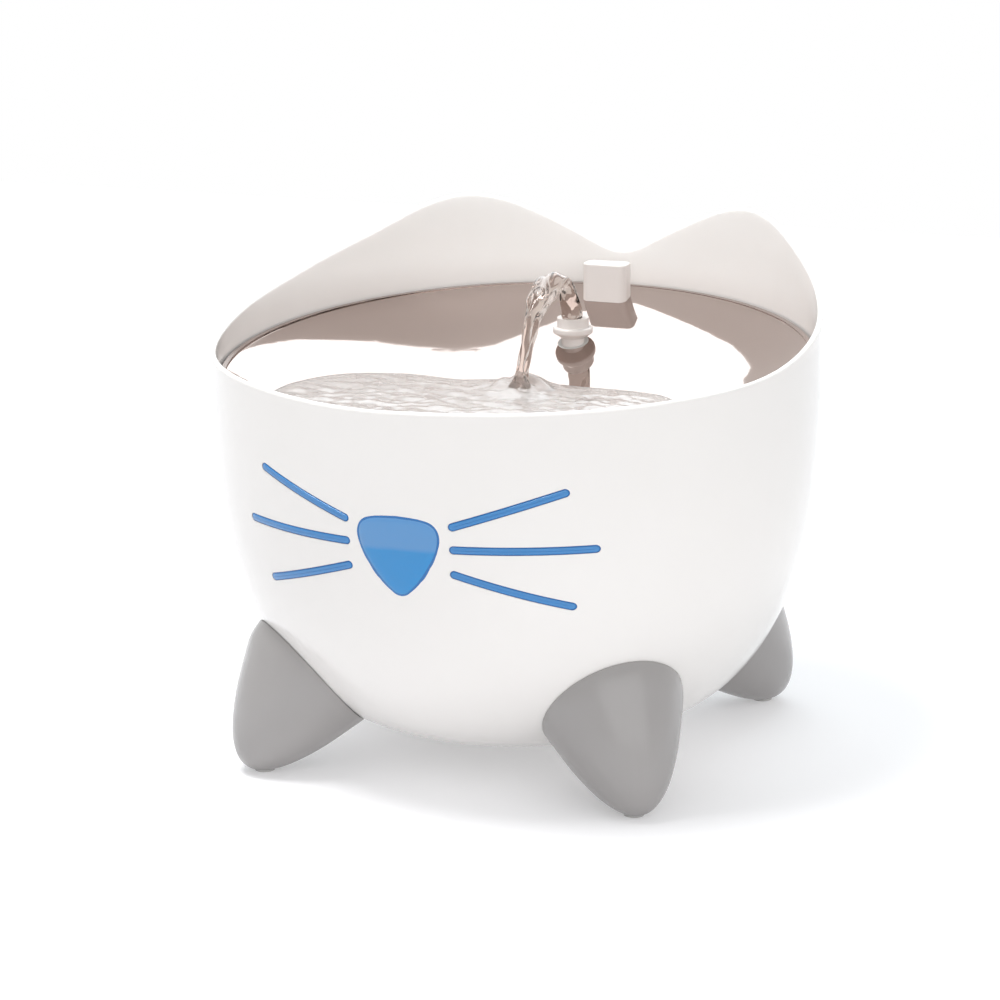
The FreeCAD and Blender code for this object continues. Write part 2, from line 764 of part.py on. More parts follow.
def make_pump_housing():
    """Pump body with impeller chamber, closed rotor tunnel, motor room and outlet spigot."""
    body = block(pump_width, pump_front, pump_back, pump_bottom_height, pump_top_height)
    upright = [edge for edge in body.Edges if abs(edge.tangentAt(edge.FirstParameter).z) > 1 / 2]
    body = body.makeFillet(pump_corner, upright)
    room = motor_room()
    corners = [edge for edge in room.Edges if abs(edge.tangentAt(edge.FirstParameter).z) > 1 / 2]
    room = room.makeFillet(pump_wall, corners)
    sleeve = lying(tunnel_radius + tunnel_wall, tunnel_end - tunnel_wall, chamber_floor, 0, rotor_height)
    spigot = cylinder(spigot_radius, pump_top_height, pump_top_height + spigot_height, 0, spout_y)
    body = joined([body.cut(room), sleeve, spigot])
    cuts = [
        lying(chamber_radius, chamber_floor, pump_back + overrun, 0, rotor_height),
        lying(tunnel_radius, tunnel_end, pump_back, 0, rotor_height),
        cylinder(outlet_channel, rotor_height, pump_top_height + spigot_height + overrun, 0, spout_y),
    ]
    return body.cut(cuts)


def make_motor_cover():
    """Plug that closes the motor room."""
    width = pump_width - 2 * pump_wall - 2 * fit_gap
    low = pump_bottom_height + pump_wall + fit_gap
    high = pump_top_height - pump_wall - fit_gap
    cover = block(width, pump_front + pump_wall, pump_front + pump_wall + motor_cover_thickness, low, high)
    return cover


def make_chamber_cover():
    """Round cover of the impeller chamber with its ring of intake holes and a bush seat."""
    end = pump_back + chamber_cover_thickness
    disc = lying(chamber_cover_radius, pump_back, end, 0, rotor_height)
    holes = []
    for index in range(intake_hole_count):
        angle = 2 * pi * index / intake_hole_count
        x = intake_circle_radius * cos(angle)
        z = rotor_height + intake_circle_radius * sin(angle)
        holes.append(lying(intake_hole_radius, pump_back - overrun, end + overrun, x, z))
    return disc.cut(holes)


def make_shaft_bushes():
    """Two soft bushes that hold the shaft's ends."""
    bushes = []
    for start in (tunnel_end, pump_back - bush_length):
        bush = lying(bush_radius, start, start + bush_length, 0, rotor_height)
        bushes.append(bush.cut(lying(shaft_radius, tunnel_end, pump_back, 0, rotor_height)))
    return Part.makeCompound(bushes)


def make_pump_shaft():
    """Ceramic shaft between the bushes."""
    return lying(shaft_radius, tunnel_end, pump_back, 0, rotor_height)


def make_impeller():
    """Impeller: back plate, straight blades and a long hub that carries the magnet."""
    plate_start = chamber_floor + loose_gap + running_gap
    plate_end = plate_start + impeller_plate
    blade_end = plate_end + impeller_blade_height
    plate = lying(impeller_radius, plate_start, plate_end, 0, rotor_height)
    hub = lying(impeller_hub_radius, plate_start - magnet_length, plate_end, 0, rotor_height)
    pieces = [plate, hub]
    blade = Part.makeBox(impeller_radius - impeller_hub_radius, impeller_blade_height, impeller_blade_thickness)
    blade.translate(V(impeller_hub_radius, plate_end, rotor_height - impeller_blade_thickness / 2))
    for index in range(impeller_blades):
        angle = 360 * index / impeller_blades
        pieces.append(turned(blade, angle, V(0, 0, rotor_height), V(0, 1, 0)))
    wheel = joined(pieces)
    return wheel.cut(lying(shaft_radius + running_gap, tunnel_end, blade_end + overrun, 0, rotor_height))


def make_rotor_magnet():
    """Ring magnet on the impeller's hub."""
    end = chamber_floor + loose_gap + running_gap
    ring = lying(magnet_radius, end - magnet_length, end - running_gap, 0, rotor_height)
    return ring.cut(lying(impeller_hub_radius, tunnel_end, pump_back, 0, rotor_height))


def make_stator_core():
    """U shaped stack: a base leg through the coil and two poles beside the rotor's tunnel."""
    start = core_end - core_length
    base = block(core_width, start, core_end, core_low, core_low + core_base_height)
    offset = (core_width - core_leg) / 2
    high = rotor_height + tunnel_radius
    poles = [block(core_leg, start, core_end, core_low, high, side * offset) for side in (-1, 1)]
    return joined([base] + poles)


def make_stator_coil():
    """Winding round the core's base leg."""
    width = core_width - 2 * core_leg - 2 * loose_gap
    start = core_end - core_length
    high = core_low + core_base_height
    outside = block(width, start - coil_build, core_end + coil_build, core_low - coil_build, high + coil_build)
    return outside.cut(block(core_width, start, core_end, core_low, high))


def make_intake_cover():
    """Slotted cap over the intake, with two rails for the flow slider."""
    half = intake_cover_height / 2
    end = pump_back + intake_cover_depth
    cap = block(intake_cover_width, pump_back, end, rotor_height - half, rotor_height + half)
    inner_width = intake_cover_width - 2 * intake_cover_wall
    inner_half = half - intake_cover_wall
    room = block(inner_width, pump_back - overrun, end - intake_cover_wall, rotor_height - inner_half,
                 rotor_height + inner_half)
    rails = []
    run = slider_width + slider_travel + slider_rail
    for side in (-1, 1):
        middle = rotor_height + side * (slider_height / 2 + loose_gap + slider_rail / 2)
        low = middle - slider_rail / 2
        rails.append(block(run, end, end + loose_gap + slider_thickness, low, low + slider_rail,
                           slider_travel / 2))
    slots = []
    for index in range(intake_slot_count):
        x = intake_slot_pitch * (index - (intake_slot_count - 1) / 2)
        low = rotor_height - intake_slot_height / 2
        slots.append(block(intake_slot_width, end - 2 * intake_cover_wall, end + overrun, low,
                           low + intake_slot_height, x))
    return joined([cap.cut([room] + slots)] + rails).cut(slots)


def make_flow_slider():
    """Plate that covers more or fewer of the intake slots, with a finger nub."""
    start = pump_back + intake_cover_depth + loose_gap
    half = slider_height / 2
    plate = block(slider_width, start, start + slider_thickness, rotor_height - half, rotor_height + half)
    nub = block(slider_nub, start, start + slider_thickness + slider_nub, rotor_height - slider_nub,
                rotor_height + slider_nub)
    return joined([plate, nub])


def make_suction_cups():
    """Four cups that hold the pump on its seats."""
    cups = []
    for x, y in cup_places():
        outline = [
            (0, seat_height), (cup_radius, seat_height), (cup_radius, seat_height + cup_rim_height),
            (cup_neck_radius, seat_height + cup_neck_rise), (cup_neck_radius, pump_bottom_height),
            (0, pump_bottom_height), (0, seat_height),
        ]
        section = Part.makePolygon([V(radius, 0, height) for radius, height in outline])
        cup = Part.Face(section).revolve(CENTRE, UP, 360)
        cup.translate(V(x, y, 0))
        cups.append(cup)
    return Part.makeCompound(cups)


def make_pump_gland():
    """Gland on the pump's top where the lead leaves it."""
    place = pump_front + gland_inset
    return tube(gland_radius, gland_bore, pump_top_height, pump_top_height + gland_height, 0, place)


whiskers = {"upper": upper_whisker, "middle": middle_whisker, "lower": lower_whisker}
foot = make_foot()

nodes = {
    "bowl_shell": make_bowl_shell(),
    "foot_pads": make_foot_pads(),
    "foot_screws": make_foot_screws(),
    "nose_window": make_nose_window(),
    "nose_seal": make_nose_seal(),
    "light_pod": make_light_pod(),
    "light_board": make_light_board(),
    "light_led": make_light_led(),
    "cord_grommet": make_cord_grommet(),
    "drinking_tray": make_drinking_tray(),
    "tray_carrier": make_tray_carrier(),
    "lift_knob": make_lift_knob(),
    "knob_screws": make_knob_screws(),
    "spout_seal": make_spout_seal(),
    "spout_nozzle": make_spout_nozzle(),
    "riser_tube": make_riser_tube(),
    "filter_basket": make_filter_basket(),
    "filter_foam": make_filter_foam(),
    "filter_carbon": make_filter_carbon(),
    "pump_housing": make_pump_housing(),
    "motor_cover": make_motor_cover(),
    "chamber_cover": make_chamber_cover(),
    "intake_cover": make_intake_cover(),
    "flow_slider": make_flow_slider(),
    "impeller": make_impeller(),
    "rotor_magnet": make_rotor_magnet(),
    "pump_shaft": make_pump_shaft(),
    "shaft_bushes": make_shaft_bushes(),
    "stator_core": make_stator_core(),
    "stator_coil": make_stator_coil(),
    "suction_cups": make_suction_cups(),
    "pump_gland": make_pump_gland(),
}
for name in foot_turns:
    nodes["foot_" + name] = at_foot(foot, name)
for level, stroke in whiskers.items():
    for side, whisker in zip(("right", "left"), both_sides(make_whisker(stroke))):
        nodes["whisker_" + side + "_" + level] = whisker

os.makedirs("parts", exist_ok=True)
for name, shape in nodes.items():
    shape.exportStep("parts/" + name + ".step")
    print(name, len(shape.Solids), shape.isValid(), round(shape.Volume / 1000, 3))
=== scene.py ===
import bpy
import numpy as np
from mathutils import Matrix


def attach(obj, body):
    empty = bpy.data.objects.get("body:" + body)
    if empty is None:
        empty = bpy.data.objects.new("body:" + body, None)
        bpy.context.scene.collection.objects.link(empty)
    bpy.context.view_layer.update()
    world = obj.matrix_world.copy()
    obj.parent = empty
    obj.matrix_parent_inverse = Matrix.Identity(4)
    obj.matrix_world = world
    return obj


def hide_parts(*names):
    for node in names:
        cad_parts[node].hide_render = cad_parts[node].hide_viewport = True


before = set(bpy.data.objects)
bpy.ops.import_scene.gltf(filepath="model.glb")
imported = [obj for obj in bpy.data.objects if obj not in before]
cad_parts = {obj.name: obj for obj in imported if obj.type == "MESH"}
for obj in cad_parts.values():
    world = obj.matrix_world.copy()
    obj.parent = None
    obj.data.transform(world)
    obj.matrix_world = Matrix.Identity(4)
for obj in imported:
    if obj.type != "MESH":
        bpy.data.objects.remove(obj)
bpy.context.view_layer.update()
collection = bpy.context.scene.collection


# Camera. It stands a little to the right of the face and above the rim, far away behind a long lens, so the
# bowl's sides stay nearly parallel in the picture.
swing, rise, roll = np.radians(22.453), np.radians(14.318), -0.0123
camera_distance, lens, sensor = 1.5, 128.56, 36.0
aim_right, aim_up = -0.00748, 0.09793

back = np.array([np.sin(swing) * np.cos(rise), -np.cos(swing) * np.cos(rise), np.sin(rise)])
right = np.array([np.cos(swing), np.sin(swing), 0.0])
up = np.cross(back, right)
camera_place = np.eye(4)
camera_place[:3, 3] = back * camera_distance + right * aim_right + up * aim_up
camera_place[:3, 0] = right * np.cos(roll) + up * np.sin(roll)
camera_place[:3, 1] = up * np.cos(roll) - right * np.sin(roll)
camera_place[:3, 2] = back

camera = bpy.data.objects.new("camera", bpy.data.cameras.new("camera"))
camera.data.lens, camera.data.sensor_width = lens, sensor
camera.matrix_world = Matrix(camera_place)
collection.objects.link(camera)
bpy.context.scene.camera = camera


# Bowl with its guard and ears: one injection moulding in glossy white ABS. It is polished outside, so only
# a faint unevenness of the gloss and a very fine grain show. The thin guard lets some light through.
wander_scale, wander_low, wander_high = 45.0, 0.1, 0.9


def add_socket(group, name, kind, side="INPUT"):
    """One named input or output of a node group."""
    group.interface.new_socket(name, in_out=side, socket_type="NodeSocket" + kind)


def make_moulded_finish():
    """Node group: two near tones mixed by broad noise, a roughness that wanders between two values with
    finer noise, and a very fine grain that tips the normal."""
    group = bpy.data.node_groups.new("moulded_finish", "ShaderNodeTree")
    for name, kind in (("Light Tone", "Color"), ("Dark Tone", "Color"), ("Patch Scale", "Float"),
                       ("Smooth", "Float"), ("Dull", "Float"), ("Grain Scale", "Float"),
                       ("Grain Height", "Float")):
        add_socket(group, name, kind)
    for name, kind in (("Color", "Color"), ("Roughness", "Float"), ("Normal", "Vector")):
        add_socket(group, name, kind, "OUTPUT")
    nodes, link = group.nodes, group.links.new
    given, made = nodes.new("NodeGroupInput"), nodes.new("NodeGroupOutput")
    place = nodes.new("ShaderNodeTexCoord")

    patches, wander, grain = (nodes.new("ShaderNodeTexNoise") for _ in range(3))
    for noise in (patches, wander, grain):
        link(place.outputs["Object"], noise.inputs["Vector"])
    link(given.outputs["Patch Scale"], patches.inputs["Scale"])
    link(given.outputs["Grain Scale"], grain.inputs["Scale"])
    wander.inputs["Scale"].default_value = wander_scale
    wander.inputs["Detail"].default_value = 1.0

    tones = nodes.new("ShaderNodeMix")
    tones.data_type = "RGBA"
    link(patches.outputs["Fac"], tones.inputs["Factor"])
    link(given.outputs["Light Tone"], tones.inputs["A"])
    link(given.outputs["Dark Tone"], tones.inputs["B"])

    gloss = nodes.new("ShaderNodeMapRange")
    link(wander.outputs["Fac"], gloss.inputs["Value"])
    gloss.inputs["From Min"].default_value = wander_low
    gloss.inputs["From Max"].default_value = wander_high
    link(given.outputs["Smooth"], gloss.inputs["To Min"])
    link(given.outputs["Dull"], gloss.inputs["To Max"])

    bump = nodes.new("ShaderNodeBump")
    link(grain.outputs["Fac"], bump.inputs["Height"])
    link(given.outputs["Grain Height"], bump.inputs["Distance"])

    link(tones.outputs["Result"], made.inputs["Color"])
    link(gloss.outputs["Result"], made.inputs["Roughness"])
    link(bump.outputs["Normal"], made.inputs["Normal"])
    return group


moulded_finish = make_moulded_finish()


def moulded(name, light, dark, smooth, dull, patch_scale=16.0, grain_scale=1500.0, grain_height=4e-6,
            **extra):
    """Material with the moulded finish; extra sets plain values on the shader's own sockets."""
    material = bpy.data.materials.new(name)
    material.use_nodes = True
    nodes, link = material.node_tree.nodes, material.node_tree.links.new
    shader = nodes["Principled BSDF"]
    finish = nodes.new("ShaderNodeGroup")
    finish.node_tree = moulded_finish
    values = {"Light Tone": (*light, 1.0), "Dark Tone": (*dark, 1.0), "Patch Scale": patch_scale,
              "Smooth": smooth, "Dull": dull, "Grain Scale": grain_scale, "Grain Height": grain_height}
    for socket, value in values.items():
        finish.inputs[socket].default_value = value
    for output, socket in (("Color", "Base Color"), ("Roughness", "Roughness"), ("Normal", "Normal")):
        link(finish.outputs[output], shader.inputs[socket])
    for socket, value in extra.items():
        shader.inputs[socket.replace("_", " ")].default_value = value
    return material


def dress(material, *names):
    """Puts the material on every slot of these nodes of the frame."""
    for name in names:
        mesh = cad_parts[name].data
        if not mesh.materials:
            mesh.materials.append(material)
        for index in range(len(mesh.materials)):
            mesh.materials[index] = material


gloss_white = moulded("gloss_white_abs", (0.865, 0.845, 0.825), (0.845, 0.822, 0.80), 0.10, 0.16,
                      grain_scale=260.0, grain_height=6e-6, Subsurface_Scale=0.005,
                      Subsurface_Radius=(1.0, 0.98, 0.96))
guard_low, guard_high, guard_glow = 0.168, 0.180, 0.80


def glow_above(material, low, high, weight):
    """Scatters light inside the material above a height, with a soft start between two heights."""
    nodes, link = material.node_tree.nodes, material.node_tree.links.new
    kinds = ("TexCoord", "SeparateXYZ", "MapRange")
    place, parts, rise = (nodes.new("ShaderNode" + kind) for kind in kinds)
    rise.inputs["From Min"].default_value, rise.inputs["From Max"].default_value = low, high
    rise.inputs["To Max"].default_value = weight
    link(place.outputs["Object"], parts.inputs["Vector"])
    link(parts.outputs["Z"], rise.inputs["Value"])
    link(rise.outputs["Result"], nodes["Principled BSDF"].inputs["Subsurface Weight"])


glow_above(gloss_white, guard_low, guard_high, guard_glow)
dress(gloss_white, "bowl_shell")


# Nose: a translucent blue window moulded into the wall, with the lamp behind it. A low darker rim laps over
# the edge of the opening, and a thin crowned cap fills it. The cap's upper part is painted a lighter blue
# above a wavy
# line: a painted highlight that stands for the room's reflection and the lamp's glow. The wall's sizes and
# the outline's shares come first.
shoulder_radius, shoulder_height, curve_depth = 0.125, 0.1743, 0.16563
side_power, depth_power = 3.35, 2.86
nose_half_width, nose_low, nose_rise = 0.017, 0.0923, 0.032
nose_outline = [(0, 1), (0.553, 0.978), (0.871, 0.916), (0.994, 0.803), (0.959, 0.616), (0.776, 0.406),
                (0.47, 0.168), (0.20, 0.026), (0.09, -0.010), (0, -0.019)]
nose_points, nose_centre_share = 60, 0.56
rim_lap, rim_crown, rim_sunk = 0.0009, 0.0002, 0.0002
nose_border, nose_crown, nose_sunk = 0.0004, 0.0007, 0.0003
cap_shares = np.concatenate([np.linspace(0.04, 0.8, 10), np.linspace(0.84, 1.0, 7)])
cap_flatness, cap_thickness = 6, 0.0002


def wall_front(x, z, inset):
    """Y of the bowl's front wall, moved inwards by an inset: the wall's radius at a height is a superellipse
    of the drop below the shoulder, and y is the circle's at that radius."""
    drop = (shoulder_height - z) / (curve_depth - inset)
    radius = (shoulder_radius - inset) * (1 - drop ** depth_power) ** (1 / side_power)
    return -np.sqrt(radius ** 2 - x ** 2)


def closed_skin(name, grid, material, body):
    """Smooth closed mesh from a grid of points: each row is a closed ring, neighbouring rings are joined by
    squares, and the first and last ring close on their mean points. Where the volume that the squares
    enclose is negative, the rings are turned round, so that the faces look outwards. It rides on a body."""
    low, high = grid[:-1], grid[1:]
    across = np.cross(np.roll(high, -1, axis=1) - low, high - np.roll(low, -1, axis=1))
    if np.sum(across * (low + high - 2 * grid.mean(axis=(0, 1)))) < 0:
        grid = grid[:, ::-1]
    rows, columns = grid.shape[:2]
    here = np.arange(rows * columns).reshape(rows, columns)
    beside = np.roll(here, -1, axis=1)
    squares = np.stack([here[:-1], beside[:-1], beside[1:], here[1:]], axis=-1).reshape(-1, 4)
    first, last = rows * columns, rows * columns + 1
    first_fan = np.stack([beside[0], here[0], np.full(columns, first)], axis=-1)
    last_fan = np.stack([here[-1], beside[-1], np.full(columns, last)], axis=-1)
    points = np.concatenate([grid.reshape(-1, 3), [grid[0].mean(axis=0)], [grid[-1].mean(axis=0)]])
    mesh = bpy.data.meshes.new(name)
    mesh.from_pydata(points.tolist(), [], squares.tolist() + first_fan.tolist() + last_fan.tolist())
    mesh.shade_smooth()
    mesh.materials.append(material)
    piece = bpy.data.objects.new(name, mesh)
    collection.objects.link(piece)
    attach(piece, body)
    return piece


def crowned_cap(name, edge, spine, crown, sunk, material):
    """Thin crowned cap on the front wall. Edge and spine are matching points in x and z: a point runs from
    the spine to the edge by a share, its height over the wall falls from the crown to sunk by a rounded
    curve of that share, and a flat back closes it."""
    flat = spine[None] + (edge - spine)[None] * cap_shares[:, None, None]
    proud = (crown + sunk) * np.sqrt(np.clip(1 - cap_shares ** cap_flatness, 0, 1)) - sunk
    x, z = flat[..., 0], flat[..., 1]
    face = np.stack([x, wall_front(x, z, -proud[:, None]), z], axis=-1)
    rear = np.stack([x, wall_front(x, z, sunk + cap_thickness), z], axis=-1)[::-1]
    return closed_skin(name, np.concatenate([face, rear]), material, "base")


def smooth_through(points, count):
    """Points evenly spread along a smooth curve through the given ones: each span is a cubic whose end
    slopes are those of the neighbours' chords."""
    points = np.asarray(points, float)
    slopes = np.gradient(points, axis=0)
    at = np.linspace(0, len(points) - 1, count)
    span = np.minimum(at.astype(int), len(points) - 2)
    t = (at - span)[:, None]
    a, b, u, v = points[span], points[span + 1], slopes[span], slopes[span + 1]
    return (a * (1 + 2 * t) * (1 - t) ** 2 + b * t * t * (3 - 2 * t)
            + u * t * (1 - t) ** 2 - v * t * t * (1 - t))


nose_right = smooth_through(nose_outline, nose_points) * [nose_half_width, nose_rise] + [0, nose_low]
nose_edge = np.concatenate([nose_right[:-1], (nose_right * [-1, 1])[:0:-1]])
nose_centre = np.array([[0, nose_low + nose_centre_share * nose_rise]])
nose_reach = np.linalg.norm(nose_edge - nose_centre, axis=1, keepdims=True)
nose_spine = np.broadcast_to(nose_centre, nose_edge.shape)
rim_edge = nose_centre + (nose_edge - nose_centre) * (1 + rim_lap / nose_reach)
cap_edge = nose_centre + (nose_edge - nose_centre) * (1 - nose_border / nose_reach)

# The upper blue is a painted highlight for the room's reflection and the lamp's glow; the lower blue is the
# cap's own.
nose_painted_highlight_blue, nose_lower_blue = (0.085, 0.275, 0.57), (0.01, 0.24, 0.58)
nose_change_height, nose_change_depth, nose_change_wave, nose_wave_scale = 0.1112, 0.0012, 0.0022, 70.0


def paint_highlight_band(material, upper, lower, height, depth, wave, wave_scale):
    """Paints a highlight band: feeds both tones of a moulded material with an upper, painted-highlight
    colour and a lower colour, changing over a small depth round a height that noise makes wavy."""
    nodes, link = material.node_tree.nodes, material.node_tree.links.new
    finish = next(node for node in nodes if node.type == "GROUP")
    kinds = ("TexCoord", "SeparateXYZ", "TexNoise", "Math", "MapRange", "Mix")
    place, parts, noise, shift, change, tones = (nodes.new("ShaderNode" + kind) for kind in kinds)
    noise.inputs["Scale"].default_value = wave_scale
    noise.inputs["Detail"].default_value = 1.0
    shift.operation, shift.inputs[1].default_value = "MULTIPLY_ADD", wave
    change.interpolation_type = "SMOOTHSTEP"
    change.inputs["From Min"].default_value = height + wave / 2 - depth
    change.inputs["From Max"].default_value = height + wave / 2 + depth
    tones.data_type = "RGBA"
    tones.inputs["A"].default_value = (*lower, 1.0)
    tones.inputs["B"].default_value = (*upper, 1.0)
    link(place.outputs["Object"], parts.inputs["Vector"])
    link(place.outputs["Object"], noise.inputs["Vector"])
    link(noise.outputs["Fac"], shift.inputs[0])
    link(parts.outputs["Z"], shift.inputs[2])
    link(shift.outputs["Value"], change.inputs["Value"])
    link(change.outputs["Result"], tones.inputs["Factor"])
    link(tones.outputs["Result"], finish.inputs["Light Tone"])
    link(tones.outputs["Result"], finish.inputs["Dark Tone"])


border_blue = moulded("nose_border_blue", (0.01, 0.15, 0.43), (0.01, 0.135, 0.40), 0.12, 0.2,
                      Coat_Weight=0.3)
nose_highlight_painted_blue = moulded("nose_cap_blue_painted_highlight", nose_painted_highlight_blue, nose_lower_blue, 0.08, 0.14, Coat_Weight=0.4)
paint_highlight_band(nose_highlight_painted_blue, nose_painted_highlight_blue, nose_lower_blue, nose_change_height, nose_change_depth,
         nose_change_wave, nose_wave_scale)
dress(border_blue, "nose_window")
crowned_cap("nose_rim", rim_edge, nose_spine, rim_crown, rim_sunk, border_blue)
crowned_cap("nose_cap", cap_edge, nose_spine, nose_crown, nose_sunk, nose_highlight_painted_blue)


# Whiskers: six blue strokes pressed into grooves beside the nose, each given by its inner and outer end in x
# and z. Each has a crowned face inside a narrow border painted a darker blue, a painted shade along the
# groove's edge.
strokes = {"upper": (0.0223, 0.1214, 0.0628, 0.1348), "middle": (0.0223, 0.11215, 0.0720, 0.11185),
           "lower": (0.0220, 0.1021, 0.0629, 0.0887)}
stroke_half_width, stroke_border, stroke_crown, stroke_sunk = 0.0016, 0.00035, 0.0003, 0.0003
round_points, straight_points = 16, 40


def stroke_rings(inner, outer, half_width):
    """Matching edge and spine points of one stroke: round its outer end, back along its upper side, round
    its inner end and out along its lower side."""
    heading = np.arctan2(*(outer - inner)[::-1])
    half_turn = np.linspace(-np.pi / 2, np.pi / 2, round_points)
    there = np.linspace(0, 1, straight_points + 2)[1:-1, None]
    ends = np.repeat([outer, inner], round_points, axis=0)
    spine = np.concatenate([ends[:round_points], outer + (inner - outer) * there,
                            ends[round_points:], inner + (outer - inner) * there])
    angles = np.concatenate([heading + half_turn, np.full(straight_points, heading + np.pi / 2),
                             heading + np.pi + half_turn, np.full(straight_points, heading - np.pi / 2)])
    return spine + half_width * np.stack([np.cos(angles), np.sin(angles)], axis=-1), spine


whisker_blue = moulded("whisker_blue", (0.04, 0.235, 0.56), (0.03, 0.21, 0.52), 0.12, 0.2,
                       Coat_Weight=0.3)
# The border's darker blue is painted shade along the groove's edge.
whisker_painted_shade_border = moulded("whisker_border_blue", (0.02, 0.15, 0.42), (0.015, 0.135, 0.39), 0.15, 0.22)
for level, (inner_x, inner_z, outer_x, outer_z) in strokes.items():
    edge, spine = stroke_rings(np.array([inner_x, inner_z]), np.array([outer_x, outer_z]),
                               stroke_half_width - stroke_border)
    for side, sign in (("right", 1), ("left", -1)):
        crowned_cap(f"whisker_face_{side}_{level}", (edge * [sign, 1])[::sign], (spine * [sign, 1])[::sign],
                    stroke_crown, stroke_sunk, whisker_blue)
        dress(whisker_painted_shade_border, f"whisker_{side}_{level}")


# Feet: four hollow horns in grey ABS with a soft polish, each drawn up to the bowl by one screw from below,
# and each standing on a disc of grey rubber. The discs are painted a lighter grey: painted light that takes
# out the shade under the feet.
foot_grey = moulded("soft_grey_abs", (0.375, 0.360, 0.354), (0.335, 0.322, 0.317), 0.20, 0.27,
                    patch_scale=9.0, grain_scale=1100.0, grain_height=2e-6)
# The pads' light grey is painted light against the shade under the feet.
pad_rubber_painted_light = moulded("pad_rubber_painted_light", (0.60, 0.59, 0.58), (0.54, 0.53, 0.52), 0.6, 0.75, grain_height=1e-5)
screw_steel = moulded("screw_steel", (0.62, 0.61, 0.6), (0.5, 0.49, 0.48), 0.25, 0.4, Metallic=1.0)
dress(foot_grey, "foot_front_left", "foot_front_right", "foot_rear_left", "foot_rear_right")
dress(pad_rubber_painted_light, "foot_pads")
dress(screw_steel, "foot_screws", "knob_screws")


# Lamp behind the nose: a closed cup with a small board and two blue lamps, sealed against the wall by a
# soft ring.
seal_rubber = moulded("seal_silicone", (0.62, 0.62, 0.6), (0.55, 0.55, 0.53), 0.4, 0.55)
pod_white = moulded("pod_abs", (0.78, 0.78, 0.76), (0.72, 0.72, 0.7), 0.3, 0.4)
board_green = moulded("board_green", (0.03, 0.16, 0.07), (0.02, 0.12, 0.05), 0.25, 0.45)
lamp_lens = moulded("lamp_lens", (0.55, 0.7, 0.9), (0.45, 0.6, 0.85), 0.08, 0.15)
dress(seal_rubber, "nose_seal", "cord_grommet", "spout_seal")
dress(pod_white, "light_pod")
dress(board_green, "light_board")
dress(lamp_lens, "light_led")


# Drinking tray: a dish pressed from stainless sheet and polished like a mirror, with a warm cast, faint
# drawing marks round the centre and fine wiping scratches.
polished_steel = moulded("polished_steel", (0.475, 0.394, 0.363), (0.447, 0.37, 0.34), 0.02, 0.05,
                         patch_scale=22.0, grain_scale=60.0, grain_height=3e-6, Metallic=1.0)
dress(polished_steel, "drinking_tray")


# Tray carrier, lifting knob and nozzle: satin to glossy white mouldings. The carrier hangs on the bowl's
# ledge, the knob is screwed to it through the steel, and the nozzle turns in a soft bush.
satin_white = moulded("satin_white_abs", (0.86, 0.85, 0.835), (0.82, 0.81, 0.795), 0.3, 0.4,
                      grain_scale=900.0, grain_height=8e-6)
knob_white = moulded("knob_white_abs", (0.81, 0.77, 0.745), (0.78, 0.74, 0.715), 0.18, 0.26)
dress(satin_white, "tray_carrier", "filter_basket")
dress(knob_white, "lift_knob", "spout_nozzle")


# Pool: water that stands in the dish, a little milky with bubbles, closed below by the dish's own form.
# Rings run out from the place where the stream lands and cross with small waves from the walls.
pool_level = 0.1460
dish_radius, dish_edge, dish_slope, dish_depth = 0.1215, 0.1604, 0.0777, 0.021
dish_fore, dish_fore_curve = 0.7, 0.2
pool_centre = np.array([0.0, -0.040])
shore_reach = [0.0880, 0.0850, 0.0835, 0.0815, 0.0735, 0.0675, 0.0670, 0.0690, 0.0720, 0.0845, 0.0940,
               0.0965, 0.0940, 0.0900, 0.0853, 0.0812, 0.0780, 0.0761, 0.0754, 0.0761, 0.0781, 0.0812,
               0.0853, 0.0885]
shore_steps = 20
landing, mound_centre = np.array([0.0, 0.0050]), np.array([-0.002, 0.0120])
mound_height, mound_radius, mound_wave = 0.0060, 0.0125, 0.16
ring_height, ring_length, ring_fade = 0.00030, 0.0085, 0.030
wave_count, wave_height, wave_spread, wave_bend = 40, 0.000035, 0.7, 1.2
wave_shortest, wave_longest = 0.005, 0.015
shore_film, surface_film, floor_film = 0.0001, 0.00005, 0.00002
pool_rows, pool_columns, floor_rows = 240, 360, 16
water_bending, ripple_scale = 1.333, 260.0


def dish_face(x, y):
    """Height of the steel: its edge plane slopes down to the front, and the hollow below it is one minus the
    cube of the reach, weighted towards the front."""
    reach, fore = np.hypot(x, y) / dish_radius, y / dish_radius
    hollow = np.where(reach < 1, 1 - reach ** 3, 3 * (1 - reach))
    weight = 1 - dish_fore * fore - dish_fore_curve * fore ** 2
    return dish_edge + dish_slope * y - dish_depth * hollow * weight


def pool_waves(x, y):
    """Rise of the surface: a dome where the stream lands, fading rings round it whose spacing wavers with
    the direction, and many low sine waves that mostly run towards the front."""
    draw = np.random.default_rng(7)
    away = np.hypot(x - landing[0], y - landing[1])
    bearing = np.arctan2(y - landing[1], x - landing[0])
    dome = np.hypot(x - mound_centre[0], y - mound_centre[1]) / mound_radius
    rise = mound_height * np.exp(-dome ** 2) * (1 + mound_wave * np.sin(5 * bearing + away * 500))
    turns = away / ring_length + 0.25 * np.sin(3 * bearing) + 0.15 * np.sin(7 * bearing + 2)
    rise = rise + ring_height * np.sin(2 * np.pi * turns) * np.exp(-away / ring_fade)
    for _ in range(wave_count):
        heading = draw.normal(np.pi / 2, wave_spread)
        length = draw.uniform(wave_shortest, wave_longest)
        phase = draw.uniform(0, 6.28)
        place = (x * np.cos(heading) + y * np.sin(heading)) * 2 * np.pi / length
        rise = rise + wave_height * np.sin(place + phase + wave_bend * np.sin(0.31 * place + phase))
    return rise


